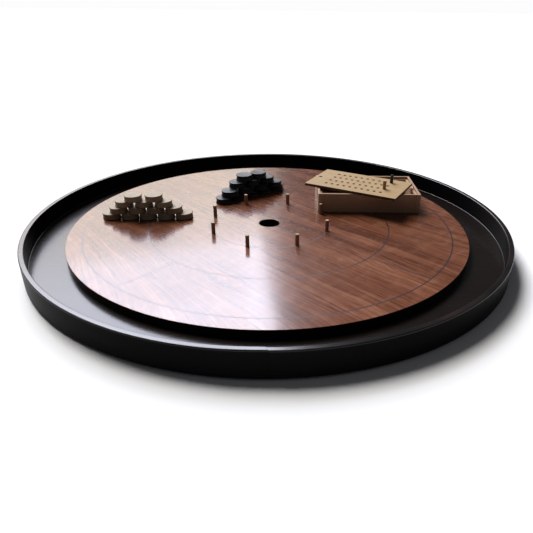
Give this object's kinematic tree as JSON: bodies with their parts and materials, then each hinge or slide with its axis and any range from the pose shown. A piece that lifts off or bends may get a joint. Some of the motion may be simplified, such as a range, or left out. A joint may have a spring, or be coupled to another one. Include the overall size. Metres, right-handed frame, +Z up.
{
  "type": "crokinole board",
  "caption": "Round crokinole game board with a raised wooden playing surface, ditch, rim, post pegs, wooden discs in two piles, and a wooden score box with a pegboard lid.",
  "frame": {"origin": "centre of the round board's footprint, on the table under its feet", "axes": "+Z up from the table through the playing surface, -Y towards the front where the rim's ends are joined, +X to the right with the score box"},
  "size_m": [0.7854, 0.7854, 0.0808],
  "materials": {
    "black_lacquer": "satin black lacquer on wood",
    "red_brown_veneer": "glossy clear lacquer on red-brown veneer",
    "peg_wood": "satin turned dowel",
    "light_disc_wood": "satin natural hardwood",
    "dark_disc_stain": "satin black stain",
    "box_wood": "plain pale wood",
    "lid_wood": "plain pale wood",
    "foot_rubber": "matt",
    "screw_steel": "zinc plated"
  },
  "bodies": {
    "board": {"outer_rim": "black_lacquer", "base_panel": "black_lacquer", "playing_core": "black_lacquer", "playing_veneer": "red_brown_veneer", "assembly_screw_1": "screw_steel", "assembly_screw_2": "screw_steel", "assembly_screw_3": "screw_steel", "assembly_screw_4": "screw_steel", "foot_1": "foot_rubber", "foot_2": "foot_rubber", "foot_3": "foot_rubber", "foot_4": "foot_rubber", "peg_1": "peg_wood", "peg_2": "peg_wood", "peg_3": "peg_wood", "peg_4": "peg_wood", "peg_5": "peg_wood", "peg_6": "peg_wood", "peg_7": "peg_wood", "peg_8": "peg_wood"},
    "box": {"box_left": "box_wood", "box_right": "box_wood", "box_front": "box_wood", "box_back": "box_wood", "box_floor": "box_wood"},
    "lid": {"box_lid": "lid_wood"},
    "score_peg_light": {"score_peg_light": "peg_wood"},
    "score_peg_dark": {"score_peg_dark": "dark_disc_stain"},
    "light_disc_1": {"light_disc_1": "light_disc_wood"},
    "light_disc_2": {"light_disc_2": "light_disc_wood"},
    "light_disc_3": {"light_disc_3": "light_disc_wood"},
    "light_disc_4": {"light_disc_4": "light_disc_wood"},
    "light_disc_5": {"light_disc_5": "light_disc_wood"},
    "light_disc_6": {"light_disc_6": "light_disc_wood"},
    "light_disc_7": {"light_disc_7": "light_disc_wood"},
    "light_disc_8": {"light_disc_8": "light_disc_wood"},
    "light_disc_9": {"light_disc_9": "light_disc_wood"},
    "light_disc_10": {"light_disc_10": "light_disc_wood"},
    "light_disc_11": {"light_disc_11": "light_disc_wood"},
    "light_disc_12": {"light_disc_12": "light_disc_wood"},
    "light_disc_13": {"light_disc_13": "light_disc_wood"},
    "light_disc_14": {"light_disc_14": "light_disc_wood"},
    "dark_disc_1": {"dark_disc_1": "dark_disc_stain"},
    "dark_disc_2": {"dark_disc_2": "dark_disc_stain"},
    "dark_disc_3": {"dark_disc_3": "dark_disc_stain"},
    "dark_disc_4": {"dark_disc_4": "dark_disc_stain"},
    "dark_disc_5": {"dark_disc_5": "dark_disc_stain"},
    "dark_disc_6": {"dark_disc_6": "dark_disc_stain"},
    "dark_disc_7": {"dark_disc_7": "dark_disc_stain"},
    "dark_disc_8": {"dark_disc_8": "dark_disc_stain"},
    "dark_disc_9": {"dark_disc_9": "dark_disc_stain"},
    "dark_disc_10": {"dark_disc_10": "dark_disc_stain"},
    "dark_disc_11": {"dark_disc_11": "dark_disc_stain"},
    "dark_disc_12": {"dark_disc_12": "dark_disc_stain"},
    "dark_disc_13": {"dark_disc_13": "dark_disc_stain"},
    "dark_disc_14": {"dark_disc_14": "dark_disc_stain"}
  },
  "joints": [
    {"name": "box_lift", "type": "slide", "parent": "board", "child": "box", "axis": [0, 0, 1], "range_m": [0, 0.1]},
    {"name": "lid_lift", "type": "slide", "parent": "box", "child": "lid", "axis": [0, 0, 1], "range_m": [0, 0.1]},
    {"name": "score_peg_light_pull", "type": "slide", "parent": "lid", "child": "score_peg_light", "axis": [0, 0, 1], "range_m": [0, 0.03]},
    {"name": "score_peg_dark_pull", "type": "slide", "parent": "lid", "child": "score_peg_dark", "axis": [0, 0, 1], "range_m": [0, 0.03]},
    {"name": "light_disc_1_slide", "type": "slide", "parent": "board", "child": "light_disc_1", "axis": [0.0436, -0.999, 0], "range_m": [0, 0.12]},
    {"name": "light_disc_2_slide", "type": "slide", "parent": "board", "child": "light_disc_2", "axis": [0.0436, -0.999, 0], "range_m": [0, 0.12]},
    {"name": "light_disc_3_slide", "type": "slide", "parent": "board", "child": "light_disc_3", "axis": [0.0436, -0.999, 0], "range_m": [0, 0.12]},
    {"name": "light_disc_4_slide", "type": "slide", "parent": "board", "child": "light_disc_4", "axis": [0.0436, -0.999, 0], "range_m": [0, 0.12]},
    {"name": "light_disc_5_slide", "type": "slide", "parent": "board", "child": "light_disc_5", "axis": [0.0436, -0.999, 0], "range_m": [0, 0.12]},
    {"name": "light_disc_6_draw", "type": "slide", "parent": "board", "child": "light_disc_6", "axis": [0.0576, -0.9983, 0], "range_m": [0, 0.035]},
    {"name": "light_disc_7_draw", "type": "slide", "parent": "board", "child": "light_disc_7", "axis": [0.0576, -0.9983, 0], "range_m": [0, 0.035]},
    {"name": "light_disc_8_draw", "type": "slide", "parent": "board", "child": "light_disc_8", "axis": [0.0576, -0.9983, 0], "range_m": [0, 0.035]},
    {"name": "light_disc_9_draw", "type": "slide", "parent": "board", "child": "light_disc_9", "axis": [0.0576, -0.9983, 0], "range_m": [0, 0.035]},
    {"name": "light_disc_10_draw", "type": "slide", "parent": "board", "child": "light_disc_10", "axis": [0.0262, -0.9997, 0], "range_m": [0, 0.035]},
    {"name": "light_disc_11_draw", "type": "slide", "parent": "board", "child": "light_disc_11", "axis": [0.0262, -0.9997, 0], "range_m": [0, 0.035]},
    {"name": "light_disc_12_draw", "type": "slide", "parent": "board", "child": "light_disc_12", "axis": [0.0262, -0.9997, 0], "range_m": [0, 0.035]},
    {"name": "light_disc_13_lift", "type": "slide", "parent": "board", "child": "light_disc_13", "axis": [0, 0, 1], "range_m": [0, 0.08]},
    {"name": "light_disc_14_lift", "type": "slide", "parent": "board", "child": "light_disc_14", "axis": [0, 0, 1], "range_m": [0, 0.08]},
    {"name": "dark_disc_1_slide", "type": "slide", "parent": "board", "child": "dark_disc_1", "axis": [-0.6534, 0.757, 0], "range_m": [0, 0.12]},
    {"name": "dark_disc_2_slide", "type": "slide", "parent": "board", "child": "dark_disc_2", "axis": [-0.6534, 0.757, 0], "range_m": [0, 0.12]},
    {"name": "dark_disc_3_slide", "type": "slide", "parent": "board", "child": "dark_disc_3", "axis": [-0.6534, 0.757, 0], "range_m": [0, 0.12]},
    {"name": "dark_disc_4_slide", "type": "slide", "parent": "board", "child": "dark_disc_4", "axis": [-0.6534, 0.757, 0], "range_m": [0, 0.12]},
    {"name": "dark_disc_5_slide", "type": "slide", "parent": "board", "child": "dark_disc_5", "axis": [-0.6534, 0.757, 0], "range_m": [0, 0.12]},
    {"name": "dark_disc_6_draw", "type": "slide", "parent": "board", "child": "dark_disc_6", "axis": [-0.6074, 0.7944, 0], "range_m": [0, 0.035]},
    {"name": "dark_disc_7_draw", "type": "slide", "parent": "board", "child": "dark_disc_7", "axis": [-0.6074, 0.7944, 0], "range_m": [0, 0.035]},
    {"name": "dark_disc_8_draw", "type": "slide", "parent": "board", "child": "dark_disc_8", "axis": [-0.6074, 0.7944, 0], "range_m": [0, 0.035]},
    {"name": "dark_disc_9_draw", "type": "slide", "parent": "board", "child": "dark_disc_9", "axis": [-0.6074, 0.7944, 0], "range_m": [0, 0.035]},
    {"name": "dark_disc_10_draw", "type": "slide", "parent": "board", "child": "dark_disc_10", "axis": [-0.5446, 0.8387, 0], "range_m": [0, 0.035]},
    {"name": "dark_disc_11_draw", "type": "slide", "parent": "board", "child": "dark_disc_11", "axis": [-0.5446, 0.8387, 0], "range_m": [0, 0.035]},
    {"name": "dark_disc_12_draw", "type": "slide", "parent": "board", "child": "dark_disc_12", "axis": [-0.5446, 0.8387, 0], "range_m": [0, 0.035]},
    {"name": "dark_disc_13_lift", "type": "slide", "parent": "board", "child": "dark_disc_13", "axis": [0, 0, 1], "range_m": [0, 0.08]},
    {"name": "dark_disc_14_lift", "type": "slide", "parent": "board", "child": "dark_disc_14", "axis": [0, 0, 1], "range_m": [0, 0.08]}
  ]
}
